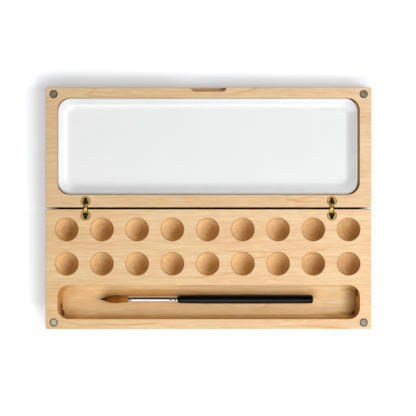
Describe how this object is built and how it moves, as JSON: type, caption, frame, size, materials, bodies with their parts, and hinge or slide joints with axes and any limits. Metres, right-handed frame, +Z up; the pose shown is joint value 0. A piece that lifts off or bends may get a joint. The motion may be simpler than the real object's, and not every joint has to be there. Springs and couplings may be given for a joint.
{
  "type": "watercolour paint box",
  "caption": "Folding wooden watercolour box: equal leaves on barrel hinges, one with turned paint wells and a brush trough, the other with a glazed mixing tray.",
  "frame": {"origin": "on the table under the middle of the gap between the open leaves", "axes": "+X along the hinge line, the long way; -Y towards the leaf with wells and brush; +Z up out of the wells"},
  "size_m": [0.326, 0.2418, 0.019],
  "materials": {
    "maple": "oiled, close-grained light hardwood",
    "porcelain": "white glaze",
    "barrel_brass": "turned and polished",
    "link_brass": "stamped, satin",
    "pin_steel": "ground",
    "magnet_nickel": "bright nickel plate",
    "ferrule_nickel": "bright nickel plate",
    "handle_lacquer": "black lacquer over wood",
    "brush_hair": "brown hair drawn to a point"
  },
  "bodies": {
    "base": {"base_block": "maple", "base_magnet_left": "magnet_nickel", "base_magnet_right": "magnet_nickel", "left_base_barrel": "barrel_brass", "right_base_barrel": "barrel_brass", "left_base_pivot_pin": "pin_steel", "right_base_pivot_pin": "pin_steel"},
    "lid": {"lid_block": "maple", "mixing_tray": "porcelain", "lid_magnet_left": "magnet_nickel", "lid_magnet_right": "magnet_nickel", "left_lid_barrel": "barrel_brass", "right_lid_barrel": "barrel_brass", "left_lid_pivot_pin": "pin_steel", "right_lid_pivot_pin": "pin_steel"},
    "brush": {"brush_hair": "brush_hair", "brush_ferrule": "ferrule_nickel", "brush_handle": "handle_lacquer"},
    "left_link_one": {"left_base_link": "link_brass", "left_centre_pin": "pin_steel", "left_lid_slide_pin": "pin_steel"},
    "left_link_two": {"left_lid_link": "link_brass", "left_base_slide_pin": "pin_steel"},
    "right_link_one": {"right_base_link": "link_brass", "right_centre_pin": "pin_steel", "right_lid_slide_pin": "pin_steel"},
    "right_link_two": {"right_lid_link": "link_brass", "right_base_slide_pin": "pin_steel"}
  },
  "joints": [
    {"name": "lid_swing", "type": "hinge", "parent": "base", "child": "lid", "pos_m": [0, 0, 0.01915], "axis": [1, 0, 0], "range_deg": [0, 180]},
    {"name": "left_base_pivot", "type": "hinge", "parent": "base", "child": "left_link_one", "pos_m": [-0.1232, -0.0034, 0.01706], "axis": [1, 0, 0], "range_deg": [-0.01, 134.24]},
    {"name": "right_base_pivot", "type": "hinge", "parent": "base", "child": "right_link_one", "pos_m": [0.1232, -0.0034, 0.01706], "axis": [1, 0, 0], "range_deg": [-0.01, 134.24]},
    {"name": "left_lid_pivot", "type": "hinge", "parent": "lid", "child": "left_link_two", "pos_m": [-0.1232, 0.0034, 0.01706], "axis": [1, 0, 0], "range_deg": [-134.24, 0.01]},
    {"name": "right_lid_pivot", "type": "hinge", "parent": "lid", "child": "right_link_two", "pos_m": [0.1232, 0.0034, 0.01706], "axis": [1, 0, 0], "range_deg": [-134.24, 0.01]},
    {"name": "brush_lift", "type": "slide", "parent": "base", "child": "brush", "axis": [0, 0, 1], "range_m": [0, 0.06]}
  ],
  "couplings": [
    {"joint": "left_base_pivot", "follows": "lid_swing", "ratio": 0.74573},
    {"joint": "right_base_pivot", "follows": "lid_swing", "ratio": 0.74573},
    {"joint": "left_lid_pivot", "follows": "lid_swing", "ratio": -0.74573},
    {"joint": "right_lid_pivot", "follows": "lid_swing", "ratio": -0.74573}
  ]
}
